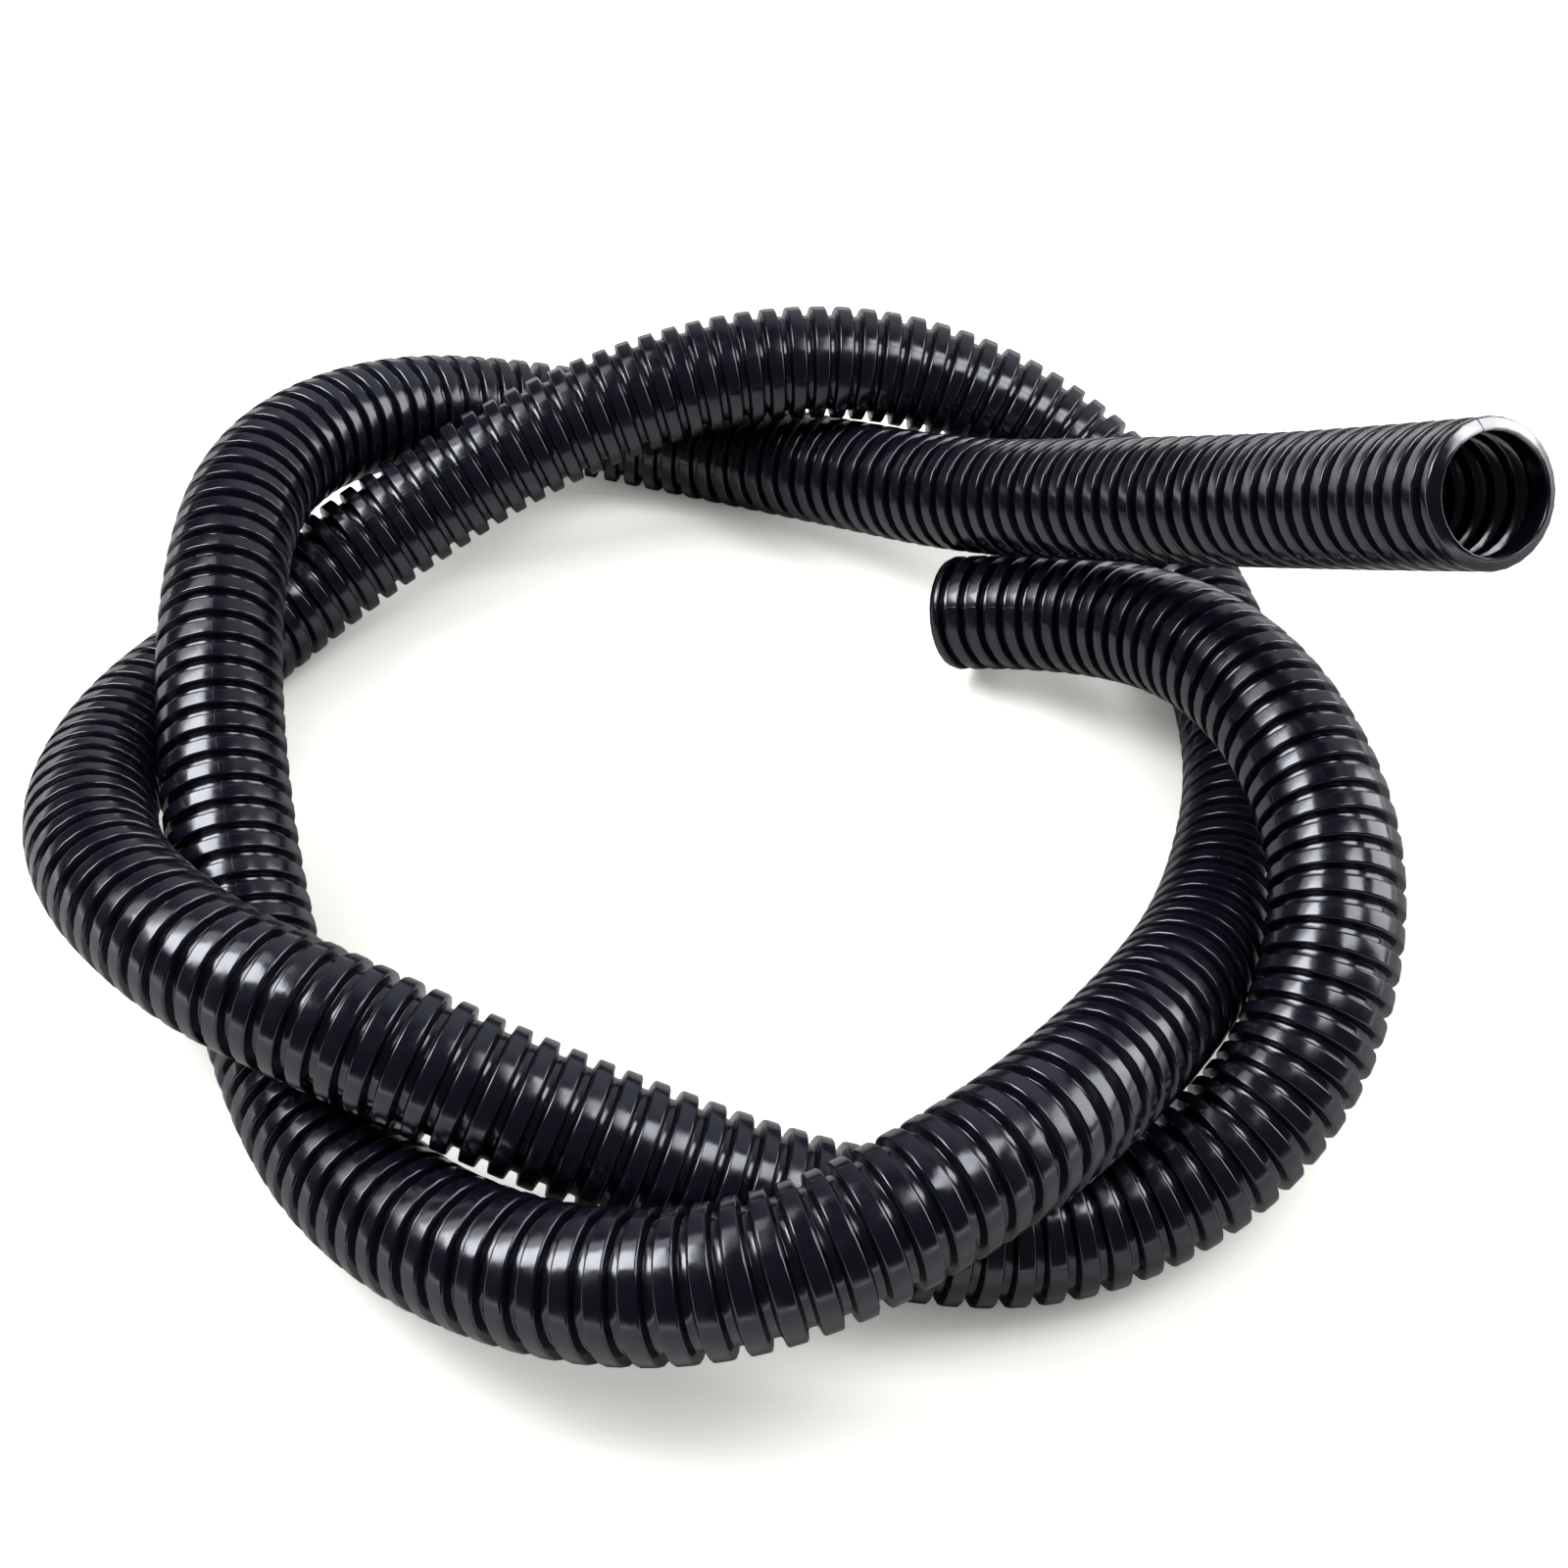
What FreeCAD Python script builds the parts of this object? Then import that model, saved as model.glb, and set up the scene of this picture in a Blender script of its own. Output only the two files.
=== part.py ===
import FreeCAD, Part

import math
import os

# A length of corrugated plastic conduit, cut square at both ends and lying on a level floor
# in two loose loops that pass over and under each other. Millimetres, +Z up, the floor at Z = 0.

document = FreeCAD.newDocument("corrugated_conduit")

# Driving dimensions of the extruded and rolled wall.
SIZES = [
    ("outer_diameter", 28.5),
    ("bore_diameter", 23.0),
    ("root_wall", 0.5),
    ("wave_pitch", 5.9),
    ("crest_width", 3.1),
    ("flank_width", 0.7),
    ("collar_length", 3.0),
    ("rim_bevel", 0.4),
]

sheet = document.addObject("Spreadsheet::Sheet", "Sizes")
for row, (name, value) in enumerate(SIZES, start=1):
    sheet.set(f"A{row}", name)
    sheet.set(f"B{row}", str(value))
    sheet.setAlias(f"B{row}", name)
document.recompute()

outer_radius = sheet.outer_diameter / 2
bore_radius = sheet.bore_diameter / 2
root_radius = bore_radius + sheet.root_wall

# The route of the conduit's centre line, from the raised open end to the end that lies on the floor.
ROUTE = [
    (141.8, -27.2, 132),
    (123.8, 10.8, 98),
    (90.7, 48.7, 66),
    (59.8, 82.7, 38.8),
    (25.7, 113.3, 20),
    (-11.3, 134.9, 12.8),
    (-53.6, 140.7, 19),
    (-91.6, 123.4, 34.6),
    (-116.7, 87.2, 46.1),
    (-118.1, 38.1, 47.1),
    (-110.6, -13.7, 33.4),
    (-96.7, -61.7, 17.2),
    (-73.8, -104.7, 18.8),
    (-35.5, -135.1, 34.2),
    (9.2, -141.5, 45.1),
    (54.1, -118, 49.8),
    (86.5, -77.2, 34.1),
    (112.2, -32.7, 17.1),
    (125.5, 20.7, 14),
    (118.3, 74, 14.8),
    (94.9, 112.8, 26.7),
    (50.9, 127.5, 45.1),
    (4.4, 123.7, 49.8),
    (-46.9, 108.5, 39.8),
    (-91, 84.8, 22.4),
    (-124.6, 54.5, 13.3),
    (-142.7, 12.7, 22.8),
    (-137.3, -33.8, 39),
    (-106.7, -69.6, 48.8),
    (-69.7, -88.9, 49.4),
    (-25.2, -102.3, 35.5),
    (24.6, -113, 18.9),
    (73.8, -112.8, 12.6),
    (116.2, -90.7, 24.6),
    (133, -43.7, 45.2),
    (119.2, 7.4, 51.5),
    (91.2, 50.8, 30.4),
    (56.9, 65.8, 14.3),
]

# Each bend takes this share of the shorter of its two runs, and the rest stays straight.
BEND_SHARE = 0.45


def rounded_path(points):
    """Straight runs joined by tangent arcs, as one wire, and the radius of each arc."""
    corners = [FreeCAD.Vector(*point) for point in points]
    edges, radii = [], []
    run_start = corners[0]
    for before, corner, after in zip(corners, corners[1:], corners[2:]):
        back, ahead = before - corner, after - corner
        turn = math.pi - back.getAngle(ahead)
        reach = BEND_SHARE * min(back.Length, ahead.Length)
        radius = reach / math.tan(turn / 2)
        inward = (back.normalize() + ahead.normalize()).normalize()
        bend_start = corner + back * reach
        bend_middle = corner + inward * (radius / math.cos(turn / 2) - radius)
        bend_end = corner + ahead * reach
        edges.append(Part.LineSegment(run_start, bend_start).toShape())
        edges.append(Part.Arc(bend_start, bend_middle, bend_end).toShape())
        radii.append(radius)
        run_start = bend_end
    edges.append(Part.LineSegment(run_start, corners[-1]).toShape())
    return Part.Wire(edges), radii


path, bend_radii = rounded_path(ROUTE)
route = document.addObject("Part::Feature", "Route")
route.Shape = path


def wave_profile(length):
    """Distance along the tube and radius there, for every circle between two strips of the wall."""
    collar = sheet.collar_length
    flank = sheet.flank_width
    crest = sheet.crest_width
    bevel = sheet.rim_bevel
    waved_length = length - 2 * collar + crest
    waves = round(waved_length / sheet.wave_pitch)
    pitch = waved_length / waves
    root = pitch - crest - 2 * flank
    profile = [(0, outer_radius - bevel), (bevel, outer_radius)]
    for wave in range(waves):
        start = collar + wave * pitch
        profile.append((start, outer_radius))
        profile.append((start + flank, root_radius))
        profile.append((start + flank + root, root_radius))
        profile.append((start + 2 * flank + root, outer_radius))
    profile.append((length - bevel, outer_radius))
    profile.append((length, outer_radius - bevel))
    return profile, waves


def rings(wire, profile):
    """A circle for each entry of the profile, square to the path, all turned the same way round."""
    edges = wire.OrderedEdges
    starts = [0.0]
    for edge in edges:
        starts.append(starts[-1] + edge.Length)
    circles = []
    side = FreeCAD.Vector(0, 0, 1)
    current = 0
    for distance, radius in profile:
        while current < len(edges) - 1 and distance > starts[current + 1]:
            current += 1
        edge = edges[current]
        step = min(distance - starts[current], edge.Length)
        parameter = edge.getParameterByLength(step)
        tangent = edge.tangentAt(parameter)
        side = (side - tangent * side.dot(tangent)).normalize()
        circle = Part.Wire([Part.makeCircle(radius)])
        circle.Placement = FreeCAD.Placement(
            edge.valueAt(parameter),
            FreeCAD.Rotation(side, tangent.cross(side), tangent, "ZXY"),
        )
        circles.append(circle)
    return circles


profile, wave_count = wave_profile(path.Length)
outside = document.addObject("Part::Feature", "Outside")
outside.Shape = Part.makeLoft(rings(path, profile), True, True)

# The smooth bore that cables are drawn through: a circle swept along the same route.
bore_section = document.addObject("Part::Circle", "BoreSection")
bore_section.setExpression("Radius", "Sizes.bore_diameter / 2")
bore_section.Placement = rings(path, [(0, bore_radius)])[0].Placement
bore = document.addObject("Part::Sweep", "Bore")
bore.Sections = [bore_section]
bore.Spine = (route, [f"Edge{number + 1}" for number in range(len(path.Edges))])
bore.Solid = True
bore.Frenet = False

conduit = document.addObject("Part::Cut", "Conduit")
conduit.Base = outside
conduit.Tool = bore
conduit.Label = "conduit"
document.recompute()

for item in document.Objects:
    if "Invalid" in item.State or "Error" in item.State:
        raise RuntimeError(f"{item.Label} failed: {item.State}")
if conduit.Shape.isNull() or not conduit.Shape.isValid() or len(conduit.Shape.Solids) != 1:
    raise RuntimeError("the conduit is not one valid solid")

print("path length", round(path.Length, 1), "mm,", wave_count, "waves")
print("bend radii", [round(radius) for radius in bend_radii])
ring_area = math.pi * (root_radius**2 - bore_radius**2)
print("volume", round(conduit.Shape.Volume), "mm3, root tube alone", round(ring_area * path.Length))

os.makedirs("parts", exist_ok=True)
conduit.Shape.exportStep(f"parts/{conduit.Label}.step")
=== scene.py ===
import math

import bmesh
import bpy
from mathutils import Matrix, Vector


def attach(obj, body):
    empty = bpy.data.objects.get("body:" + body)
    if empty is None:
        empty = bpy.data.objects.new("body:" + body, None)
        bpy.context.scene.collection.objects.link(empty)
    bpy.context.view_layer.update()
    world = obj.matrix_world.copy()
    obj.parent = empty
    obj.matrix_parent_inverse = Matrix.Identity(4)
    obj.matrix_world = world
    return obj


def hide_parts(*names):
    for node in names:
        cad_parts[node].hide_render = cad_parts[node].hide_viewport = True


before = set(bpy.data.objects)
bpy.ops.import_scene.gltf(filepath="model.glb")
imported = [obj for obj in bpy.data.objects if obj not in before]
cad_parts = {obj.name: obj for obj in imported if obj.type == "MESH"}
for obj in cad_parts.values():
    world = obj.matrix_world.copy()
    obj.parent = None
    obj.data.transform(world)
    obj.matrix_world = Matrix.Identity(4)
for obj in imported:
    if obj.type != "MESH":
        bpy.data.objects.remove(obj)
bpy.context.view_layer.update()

# The conduit's lay: one length of stiff black tube dropped in two loose loops on the floor.
# It starts at the open end that springs up towards the viewer, passes over and under its own
# turns, and ends flat on the floor inside the loops.
LAY = [
    (0.1434, -0.0306, 0.1351),
    (0.1238, 0.0108, 0.098),
    (0.0907, 0.0487, 0.066),
    (0.0602, 0.0825, 0.038),
    (0.0264, 0.1142, 0.0201),
    (-0.0112, 0.1346, 0.0125),
    (-0.0537, 0.1403, 0.0193),
    (-0.0917, 0.1229, 0.0349),
    (-0.1172, 0.086, 0.0456),
    (-0.1181, 0.0374, 0.0468),
    (-0.1107, -0.0138, 0.0334),
    (-0.0967, -0.0615, 0.0173),
    (-0.0744, -0.1044, 0.0192),
    (-0.0345, -0.1351, 0.0342),
    (0.0095, -0.1416, 0.0452),
    (0.0538, -0.1183, 0.0499),
    (0.0864, -0.078, 0.0338),
    (0.1116, -0.0338, 0.0167),
    (0.1255, 0.0188, 0.0139),
    (0.1181, 0.0719, 0.0149),
    (0.0957, 0.1109, 0.0271),
    (0.0525, 0.1255, 0.0453),
    (0.0057, 0.1229, 0.0506),
    (-0.0455, 0.1086, 0.0403),
    (-0.0903, 0.0858, 0.0233),
    (-0.1235, 0.0553, 0.0132),
    (-0.1423, 0.0137, 0.0231),
    (-0.1373, -0.0332, 0.0392),
    (-0.107, -0.0696, 0.049),
    (-0.0697, -0.0891, 0.0498),
    (-0.0251, -0.1032, 0.0357),
    (0.0256, -0.1133, 0.0192),
    (0.0732, -0.113, 0.012),
    (0.1163, -0.0897, 0.024),
    (0.133, -0.0432, 0.0448),
    (0.1192, 0.0074, 0.0515),
    (0.0912, 0.0508, 0.0304),
    (0.0569, 0.0658, 0.0143),
]
STEPS_PER_BEND = 24

lay_curve = bpy.data.curves.new("lay", "CURVE")
lay_curve.dimensions = "3D"
lay_curve.resolution_u = STEPS_PER_BEND
spline = lay_curve.splines.new("NURBS")
spline.points.add(len(LAY) - 1)
for control, place in zip(spline.points, LAY):
    control.co = (*place, 1)
spline.order_u = 3
spline.use_endpoint_u = True
lay_object = bpy.data.objects.new("lay", lay_curve)
bpy.context.scene.collection.objects.link(lay_object)
bpy.context.view_layer.update()
lay_mesh = bpy.data.meshes.new_from_object(lay_object)
centre_line = [vertex.co.copy() for vertex in lay_mesh.vertices]
bpy.data.objects.remove(lay_object)

line_length = [0.0]
for here, ahead in zip(centre_line, centre_line[1:]):
    line_length.append(line_length[-1] + (ahead - here).length)
tube_length = line_length[-1]

# The conduit's wall: thin plastic blown into square-shouldered waves, flat on their crests and
# in their roots, with a plain collar half a wave long where a saw has cut each end.
OUTER_RADIUS = 0.01425
BORE_RADIUS = 0.0115
WALL = 0.0005
WAVES = 310
CREST = 0.0031
COLLAR = 0.003
SIDES = 28

root_radius = BORE_RADIUS + WALL
hollow_radius = OUTER_RADIUS - WALL
wave = (tube_length - 2 * COLLAR + CREST) / WAVES

# One wave of the outside, as shares of its length and of the depth from root to crest.
WAVE_SHAPE = [
    (0.00, 1.00),
    (0.055, 0.95),
    (0.09, 0.78),
    (0.145, 0.12),
    (0.185, 0.00),
    (0.385, 0.00),
    (0.425, 0.12),
    (0.48, 0.78),
    (0.515, 0.95),
    (0.57, 1.00),
]

# One wave of the inside, last ring first: shares of its length and the radius there.
SHOULDER = 0.0004
HOLLOW_SHAPE = [
    (0.92, hollow_radius),
    (0.64, hollow_radius),
    (0.53, BORE_RADIUS + SHOULDER),
    (0.47, BORE_RADIUS),
    (0.10, BORE_RADIUS),
    (0.03, BORE_RADIUS + SHOULDER),
]

# The cut rim, as distances from the end and radii: its outside, then its inside.
RIM_OUTSIDE = [
    (0.0, 0.0121),
    (0.0003, 0.0127),
    (0.0010, 0.0138),
    (0.0013, 0.01411),
    (0.0017, 0.01425),
]
RIM_INSIDE = [(0.00005, 0.0118), (0.0004, 0.0116), (0.0012, 0.0115)]

# The hollow inside of the waves is made only as deep as the mouths let one see.
OPEN_WAVES = 10


def outer_rings():
    """Distance along the tube and radius of each ring of the outside, first end to last."""
    rings = RIM_OUTSIDE[:]
    for number in range(WAVES):
        start = COLLAR + number * wave
        for share, depth in WAVE_SHAPE:
            rings.append((start + share * wave, root_radius + depth * (OUTER_RADIUS - root_radius)))
    rings.extend((tube_length - distance, radius) for distance, radius in reversed(RIM_OUTSIDE))
    return rings


def inner_rings():
    """The rings of the inside, last end to first: hollow waves near both mouths, plain between."""
    rings = [(tube_length - distance, radius) for distance, radius in RIM_INSIDE]
    for number in reversed(range(WAVES)):
        start = COLLAR + number * wave
        if number < OPEN_WAVES or number >= WAVES - OPEN_WAVES:
            rings.extend((start + share * wave, radius) for share, radius in HOLLOW_SHAPE)
        elif number % 2:
            rings.append((start, BORE_RADIUS))
    rings.extend(reversed(RIM_INSIDE))
    return rings


def frames_along(distances):
    """Place, side and up of the tube's section at each distance, carried along without twist."""
    found = []
    side = Vector((0, 0, 1))
    step = 0
    for distance in distances:
        while step < len(line_length) - 2 and distance > line_length[step + 1]:
            step += 1
        share = (distance - line_length[step]) / (line_length[step + 1] - line_length[step])
        place = centre_line[step].lerp(centre_line[step + 1], share)
        before = (centre_line[step + 1] - centre_line[max(step - 1, 0)]).normalized()
        after = (centre_line[min(step + 2, len(centre_line) - 1)] - centre_line[step]).normalized()
        along = before.lerp(after, share).normalized()
        side = (side - along * side.dot(along)).normalized()
        found.append((place, side.copy(), along.cross(side)))
    return found


section = outer_rings() + inner_rings()

# The wall's section is drawn once as a chain along Z and spun into a straight tube.
wall = bmesh.new()
ring_number = wall.verts.layers.int.new("ring")
chain = []
for number, (distance, radius) in enumerate(section):
    chain.append(wall.verts.new((radius, 0, distance)))
    chain[-1][ring_number] = number
for first, second in zip(chain, chain[1:] + chain[:1]):
    wall.edges.new((first, second))
bmesh.ops.spin(
    wall,
    geom=wall.verts[:] + wall.edges[:],
    cent=(0, 0, 0),
    axis=(0, 0, 1),
    angle=math.tau,
    steps=SIDES,
    use_merge=True,
)
bmesh.ops.recalc_face_normals(wall, faces=wall.faces)

# Round and along the tube, for patterns that follow it: turns in U, metres in V.
around = wall.loops.layers.uv.new("Wall")
for face in wall.faces:
    turns = [math.atan2(loop.vert.co.y, loop.vert.co.x) / math.tau % 1.0 for loop in face.loops]
    crosses_start = max(turns) - min(turns) > 0.5
    for loop, turn in zip(face.loops, turns):
        if crosses_start and turn < 0.5:
            turn += 1.0
        loop[around].uv = (turn, loop.vert.co.z)

# A painted highlight: the upper side of the raised rim is painted white where a bright crescent of
# light falls on it. Its middle, its reach to each side and the length over which it dies out are in
# turns round the tube.
PAINTED_HIGHLIGHT_TURN = 0.055
PAINTED_HIGHLIGHT_REACH = 0.13
PAINTED_HIGHLIGHT_FADE = 0.03
PAINTED_HIGHLIGHT_DEPTH = 0.0012

# Mask of the painted highlight on the raised rim.
painted_rim_highlight = wall.verts.layers.float.new("painted_rim_highlight")
for vertex in wall.verts:
    turn = math.atan2(vertex.co.y, vertex.co.x) / math.tau
    away = abs((turn - PAINTED_HIGHLIGHT_TURN + 0.5) % 1.0 - 0.5)
    on_rim = vertex.co.z < PAINTED_HIGHLIGHT_DEPTH
    vertex[painted_rim_highlight] = min(max((PAINTED_HIGHLIGHT_REACH - away) / PAINTED_HIGHLIGHT_FADE, 0), 1) if on_rim else 0

# Then the straight tube is laid along the route, each ring square to it.
distances = sorted({distance for distance, _ in section})
sections_along = dict(zip(distances, frames_along(distances)))
for vertex in wall.verts:
    place, side, up = sections_along[section[vertex[ring_number]][0]]
    vertex.co = place + side * vertex.co.x + up * vertex.co.y

wall_mesh = bpy.data.meshes.new("conduit_wall")
wall.to_mesh(wall_mesh)
wall.free()
for polygon in wall_mesh.polygons:
    polygon.use_smooth = True
conduit_wall = bpy.data.objects.new("conduit_wall", wall_mesh)
bpy.context.scene.collection.objects.link(conduit_wall)

# Beside the crests the shoulders are narrow, so their normals follow the larger faces, and the
# crests are shaded flat, with highlights that end at their edges.
flat_crests = conduit_wall.modifiers.new("flat_crests", "WEIGHTED_NORMAL")
flat_crests.mode = "FACE_AREA"

# The plastic: satin black with a blue cast, gently rippled and rubbed duller in patches. The
# mould's two halves leave a faint ridge along each side, which also breaks the painted highlight on
# the rim.
PLASTIC_BLACK = (0.004, 0.0044, 0.0098, 1)
# White of the painted highlight on the raised rim.
PAINTED_HIGHLIGHT_WHITE = (0.86, 0.86, 0.88, 1)
SHEEN_TINT = (0.89, 0.91, 1.0, 1)
SMOOTHEST, DULLEST = 0.13, 0.26
RIPPLES_PER_METRE = 260
RIPPLE_HEIGHT = 0.0004
RIDGE_TURN = 0.002
RIDGE_INNER, RIDGE_OUTER = 0.0008, 0.0024
RIDGE_HEIGHT = 0.00012


def black_plastic():
    """The conduit's plastic, with its ripple, its two mould ridges and the rim's white painted
    highlight.
    """
    material = bpy.data.materials.new("black_plastic")
    material.use_nodes = True
    nodes, links = material.node_tree.nodes, material.node_tree.links
    surface = nodes["Principled BSDF"]
    surface.inputs["Specular IOR Level"].default_value = 1.0
    surface.inputs["Specular Tint"].default_value = SHEEN_TINT
    place = nodes.new("ShaderNodeTexCoord")

    turns = nodes.new("ShaderNodeSeparateXYZ")
    links.new(place.outputs["UV"], turns.inputs["Vector"])
    from_ridge = nodes.new("ShaderNodeMath")
    from_ridge.operation = "ADD"
    from_ridge.inputs[1].default_value = 1 - RIDGE_TURN
    links.new(turns.outputs["X"], from_ridge.inputs[0])
    nearest = nodes.new("ShaderNodeMath")
    nearest.operation = "PINGPONG"
    nearest.inputs[1].default_value = 0.25
    links.new(from_ridge.outputs["Value"], nearest.inputs[0])
    ridge = nodes.new("ShaderNodeMapRange")
    ridge.interpolation_type = "SMOOTHSTEP"
    ridge.inputs["From Min"].default_value = RIDGE_INNER
    ridge.inputs["From Max"].default_value = RIDGE_OUTER
    ridge.inputs["To Min"].default_value = 1.0
    ridge.inputs["To Max"].default_value = 0.0
    links.new(nearest.outputs["Value"], ridge.inputs["Value"])

    # The painted highlight on the rim, broken by the ridge, is mixed into the base colour here.
    painted_highlight_mask = nodes.new("ShaderNodeAttribute")
    painted_highlight_mask.attribute_name = "painted_rim_highlight"
    painted_highlight_broken = nodes.new("ShaderNodeMath")
    painted_highlight_broken.operation = "SUBTRACT"
    painted_highlight_broken.use_clamp = True
    links.new(painted_highlight_mask.outputs["Fac"], painted_highlight_broken.inputs[0])
    links.new(ridge.outputs["Result"], painted_highlight_broken.inputs[1])
    tone = nodes.new("ShaderNodeMix")
    tone.data_type = "RGBA"
    tone.inputs["A"].default_value = PLASTIC_BLACK
    tone.inputs["B"].default_value = PAINTED_HIGHLIGHT_WHITE
    links.new(painted_highlight_broken.outputs["Value"], tone.inputs["Factor"])
    links.new(tone.outputs["Result"], surface.inputs["Base Color"])

    ripple = nodes.new("ShaderNodeTexNoise")
    ripple.inputs["Scale"].default_value = RIPPLES_PER_METRE
    ripple.inputs["Detail"].default_value = 3
    links.new(place.outputs["Object"], ripple.inputs["Vector"])
    rub = nodes.new("ShaderNodeMapRange")
    rub.inputs["From Min"].default_value = 0.35
    rub.inputs["From Max"].default_value = 0.7
    rub.inputs["To Min"].default_value = SMOOTHEST
    rub.inputs["To Max"].default_value = DULLEST
    links.new(ripple.outputs["Fac"], rub.inputs["Value"])
    links.new(rub.outputs["Result"], surface.inputs["Roughness"])

    ridge_bump = nodes.new("ShaderNodeBump")
    ridge_bump.inputs["Strength"].default_value = 0.15
    ridge_bump.inputs["Distance"].default_value = RIDGE_HEIGHT
    links.new(ridge.outputs["Result"], ridge_bump.inputs["Height"])
    ripple_bump = nodes.new("ShaderNodeBump")
    ripple_bump.inputs["Strength"].default_value = 0.12
    ripple_bump.inputs["Distance"].default_value = RIPPLE_HEIGHT
    links.new(ripple.outputs["Fac"], ripple_bump.inputs["Height"])
    links.new(ridge_bump.outputs["Normal"], ripple_bump.inputs["Normal"])
    links.new(ripple_bump.outputs["Normal"], surface.inputs["Normal"])
    return material


conduit_wall.data.materials.append(black_plastic())
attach(conduit_wall, "root")
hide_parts("conduit")

# The floor: a plain pale board. To the camera it is lifted to white, with a painted shadow where
# the lift is held lower under the front strand, and painted shade close to the conduit, where
# ambient occlusion cuts the lift. Far out it is white in the plastic's reflections too.
FLOOR_HALF_WIDTH = 6
FLOOR_PALE = (0.52, 0.52, 0.51, 1)
FLOOR_SEEN = (1, 1, 0.95, 1)
FRONT_STRAND_Y = -0.15
NEAR_LIFT, FAR_LIFT = 0.6, 1.0
FADE_LENGTH = 0.3
CONTACT_REACH = 0.034
FAR_SHINE = 1.3

floor_mesh = bpy.data.meshes.new("floor")
floor_shape = bmesh.new()
bmesh.ops.create_grid(floor_shape, x_segments=1, y_segments=1, size=FLOOR_HALF_WIDTH)
floor_shape.to_mesh(floor_mesh)
floor_shape.free()
floor = bpy.data.objects.new("floor", floor_mesh)
bpy.context.scene.collection.objects.link(floor)
floor_paint = bpy.data.materials.new("floor_paint")
floor_paint.use_nodes = True
paint_nodes, paint_links = floor_paint.node_tree.nodes, floor_paint.node_tree.links
paint = paint_nodes["Principled BSDF"]
paint.inputs["Roughness"].default_value = 0.9
paint.inputs["Specular IOR Level"].default_value = 0.2
paint.inputs["Emission Color"].default_value = FLOOR_SEEN
sight = paint_nodes.new("ShaderNodeLightPath")
floor_place = paint_nodes.new("ShaderNodeTexCoord")
from_middle = paint_nodes.new("ShaderNodeVectorMath")
from_middle.operation = "LENGTH"
paint_links.new(floor_place.outputs["Object"], from_middle.inputs[0])

# Painted shadow: the white lift is held lower under the front strand and grows to full further out.
front_place = paint_nodes.new("ShaderNodeMapping")
front_place.inputs["Location"].default_value = (0, -FRONT_STRAND_Y, 0)
paint_links.new(floor_place.outputs["Object"], front_place.inputs["Vector"])
from_front = paint_nodes.new("ShaderNodeVectorMath")
from_front.operation = "LENGTH"
paint_links.new(front_place.outputs["Vector"], from_front.inputs[0])
painted_shadow_fade = paint_nodes.new("ShaderNodeMapRange")
painted_shadow_fade.inputs["From Min"].default_value = 0.0
painted_shadow_fade.inputs["From Max"].default_value = FADE_LENGTH
painted_shadow_fade.inputs["To Min"].default_value = NEAR_LIFT
painted_shadow_fade.inputs["To Max"].default_value = FAR_LIFT
paint_links.new(from_front.outputs["Value"], painted_shadow_fade.inputs["Value"])
# Painted shade: ambient occlusion cuts the white lift close to the conduit.
painted_contact_shade = paint_nodes.new("ShaderNodeAmbientOcclusion")
painted_contact_shade.samples = 6
painted_contact_shade.inputs["Distance"].default_value = CONTACT_REACH
shaded = paint_nodes.new("ShaderNodeMath")
shaded.operation = "MULTIPLY"
paint_links.new(painted_shadow_fade.outputs["Result"], shaded.inputs[0])
paint_links.new(painted_contact_shade.outputs["AO"], shaded.inputs[1])
lift = paint_nodes.new("ShaderNodeMath")
lift.operation = "MULTIPLY"
paint_links.new(sight.outputs["Is Camera Ray"], lift.inputs[0])
paint_links.new(shaded.outputs["Value"], lift.inputs[1])

sweep = paint_nodes.new("ShaderNodeMapRange")
sweep.inputs["From Min"].default_value = 0.45
sweep.inputs["From Max"].default_value = 1.0
sweep.inputs["To Min"].default_value = 0.0
sweep.inputs["To Max"].default_value = FAR_SHINE
paint_links.new(from_middle.outputs["Value"], sweep.inputs["Value"])
shine = paint_nodes.new("ShaderNodeMath")
shine.operation = "MULTIPLY_ADD"
paint_links.new(sight.outputs["Is Glossy Ray"], shine.inputs[0])
paint_links.new(sweep.outputs["Result"], shine.inputs[1])
paint_links.new(lift.outputs["Value"], shine.inputs[2])
paint_links.new(shine.outputs["Value"], paint.inputs["Emission Strength"])

floor_tone = paint_nodes.new("ShaderNodeMix")
floor_tone.data_type = "RGBA"
floor_tone.inputs["A"].default_value = FLOOR_PALE
floor_tone.inputs["B"].default_value = FLOOR_SEEN
paint_links.new(sight.outputs["Is Camera Ray"], floor_tone.inputs["Factor"])
paint_links.new(floor_tone.outputs["Result"], paint.inputs["Base Color"])
floor_mesh.materials.append(floor_paint)

# The room: dim, with a paler far side, and white only where the camera looks at it.
ROOM_TINT = (0.93, 0.95, 1.0, 1)
FAR_SIDE = (0.45, 0.85, 0.28)
ROOM_DIM, ROOM_PALE = 0.05, 0.45

room = bpy.data.worlds.new("room")
room.use_nodes = True
air, air_links = room.node_tree.nodes, room.node_tree.links
room_sight = air.new("ShaderNodeLightPath")
backdrop = air.new("ShaderNodeMix")
backdrop.data_type = "RGBA"
backdrop.inputs["A"].default_value = ROOM_TINT
backdrop.inputs["B"].default_value = (1, 1, 1, 1)
air_links.new(room_sight.outputs["Is Camera Ray"], backdrop.inputs["Factor"])
air_links.new(backdrop.outputs["Result"], air["Background"].inputs["Color"])
direction = air.new("ShaderNodeTexCoord")
toward_far_side = air.new("ShaderNodeVectorMath")
toward_far_side.operation = "DOT_PRODUCT"
toward_far_side.inputs[1].default_value = FAR_SIDE
air_links.new(direction.outputs["Generated"], toward_far_side.inputs[0])
glow = air.new("ShaderNodeMapRange")
glow.interpolation_type = "SMOOTHSTEP"
glow.inputs["From Min"].default_value = 0.55
glow.inputs["From Max"].default_value = 0.95
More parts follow.
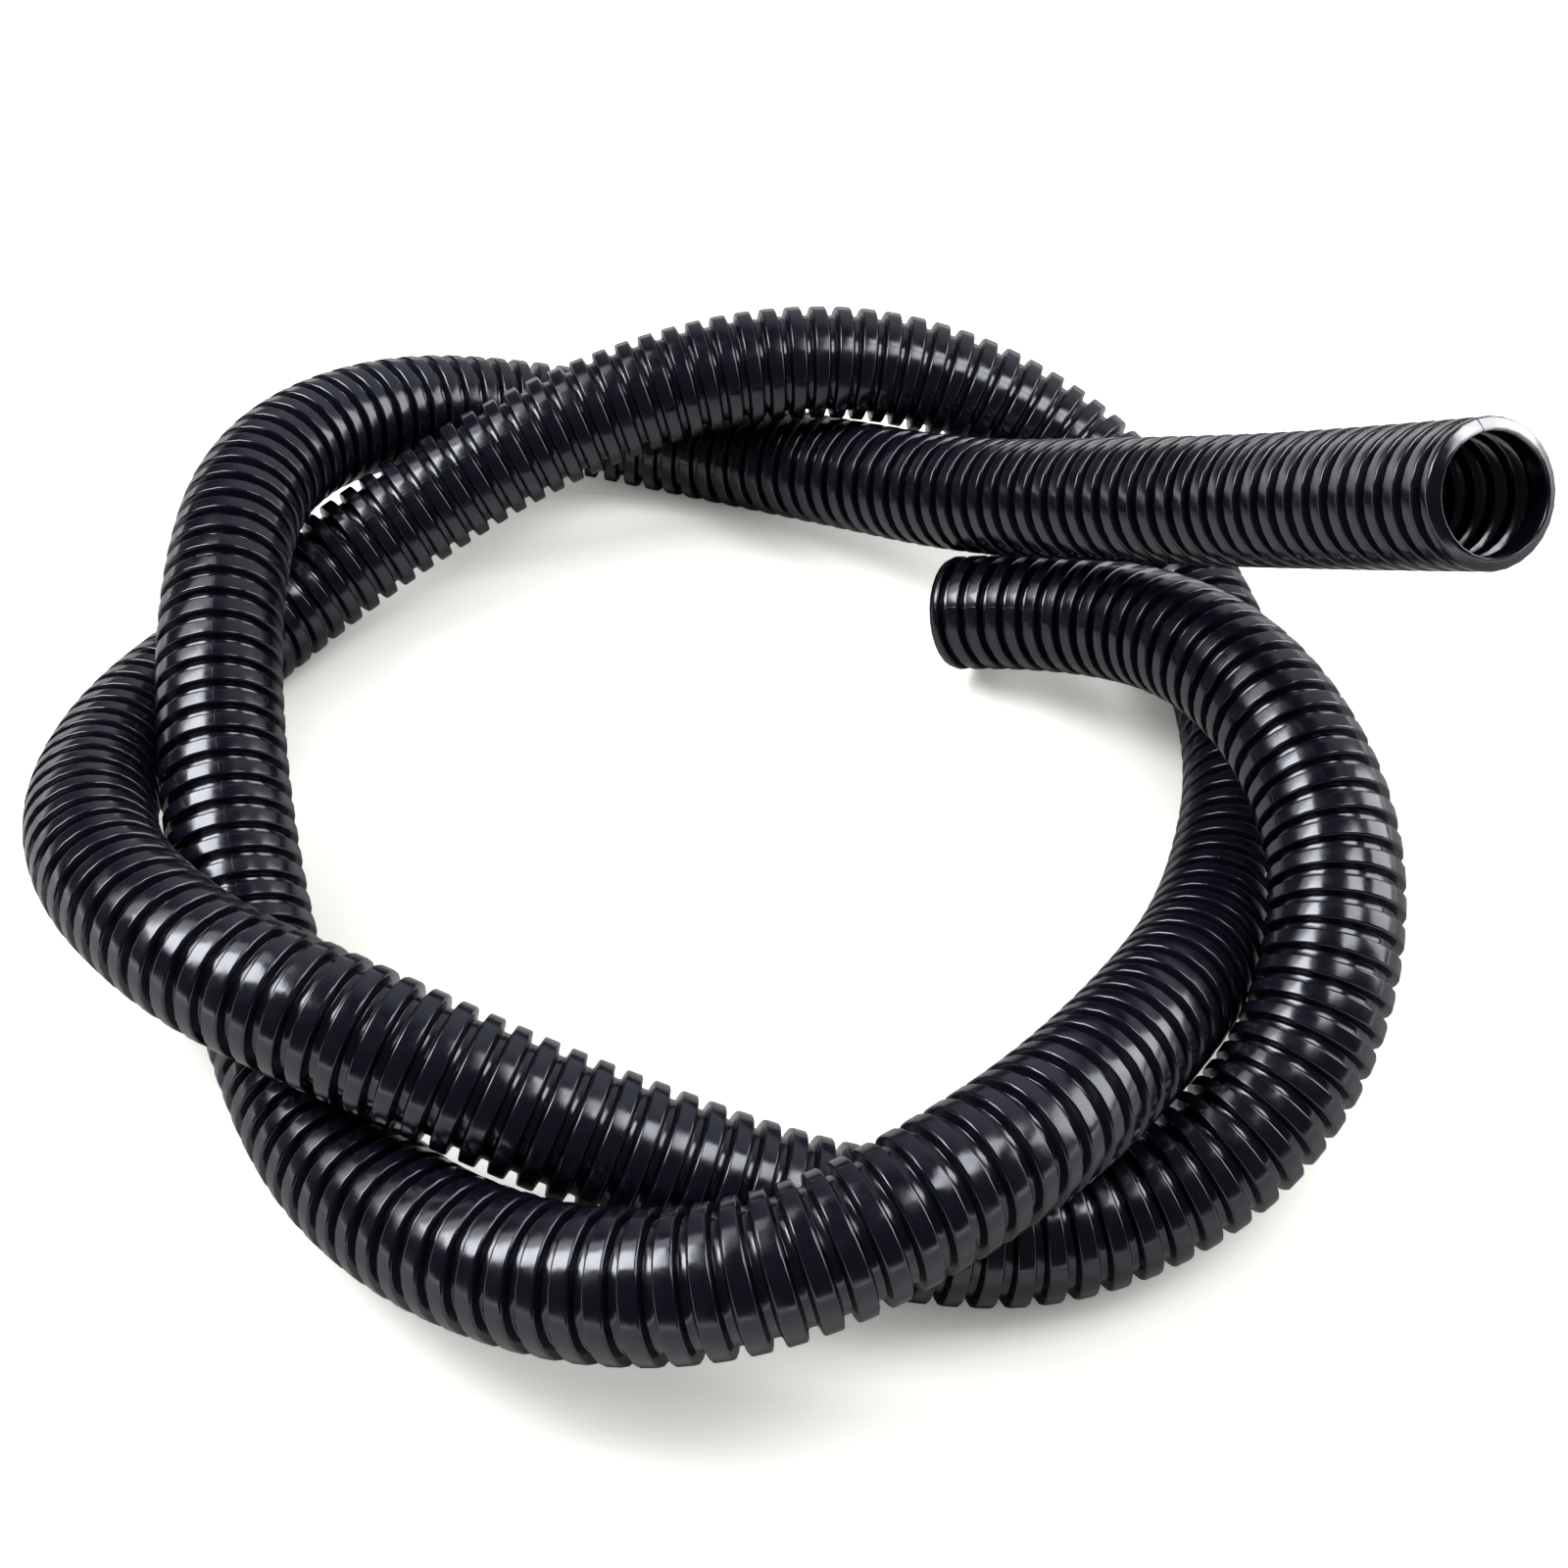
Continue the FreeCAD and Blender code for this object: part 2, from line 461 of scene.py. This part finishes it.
glow.inputs["To Min"].default_value = ROOM_DIM
glow.inputs["To Max"].default_value = ROOM_PALE
air_links.new(toward_far_side.outputs["Value"], glow.inputs["Value"])
strength = air.new("ShaderNodeMath")
strength.operation = "MAXIMUM"
air_links.new(glow.outputs["Result"], strength.inputs[0])
air_links.new(room_sight.outputs["Is Camera Ray"], strength.inputs[1])
air_links.new(strength.outputs["Value"], air["Background"].inputs["Strength"])
bpy.context.scene.world = room

# The lamps: flat softboxes overhead, a long one to the left and a short one to the right with
# a dark gap between them, and a tall window to the right.
LAMP_HEIGHT = 0.86
DOWN = (0, 0, -1)
LEFTWARD = (-1, 0, 0)


def softbox(name, width, depth, place, aim, radiance):
    """A rectangular panel lamp of even brightness."""
    lamp = bpy.data.lights.new(name, "AREA")
    lamp.shape = "RECTANGLE"
    lamp.size, lamp.size_y = width, depth
    lamp.energy = math.pi * radiance * width * depth
    panel = bpy.data.objects.new(name, lamp)
    panel.location = place
    panel.rotation_mode = "QUATERNION"
    panel.rotation_quaternion = Vector(aim).to_track_quat("-Z", "Y")
    bpy.context.scene.collection.objects.link(panel)


softbox("left_softbox", 0.9, 0.44, (-0.84, 0.07, LAMP_HEIGHT), DOWN, 9.8)
softbox("left_softbox_core", 0.42, 0.26, (-0.655, 0.145, LAMP_HEIGHT), DOWN, 8)
softbox("left_softbox_edge", 1.41, 0.35, (-0.955, 0.465, LAMP_HEIGHT), DOWN, 1.8)
softbox("right_softbox", 0.37, 0.4, (0.435, -0.05, LAMP_HEIGHT), DOWN, 6)
softbox("window", 1.2, 1.2, (1.6, 0.4, 0.8), LEFTWARD, 4)

# The camera, close in front of the conduit and above it, looking down at the loops.
FRAME_WIDTH_PX = 1600
FOCAL_PX = 2228
SENSOR_WIDTH_MM = 36
LOOK_DOWN = math.radians(47.86)
camera_data = bpy.data.cameras.new("camera")
camera_data.sensor_width = SENSOR_WIDTH_MM
camera_data.lens = SENSOR_WIDTH_MM * FOCAL_PX / FRAME_WIDTH_PX
camera = bpy.data.objects.new("camera", camera_data)
camera.location = (0.0138, -0.3362, 0.3942)
camera.rotation_euler = (math.pi / 2 - LOOK_DOWN, 0, 0)
bpy.context.scene.collection.objects.link(camera)
bpy.context.scene.camera = camera
bpy.context.scene.view_settings.view_transform = "Standard"
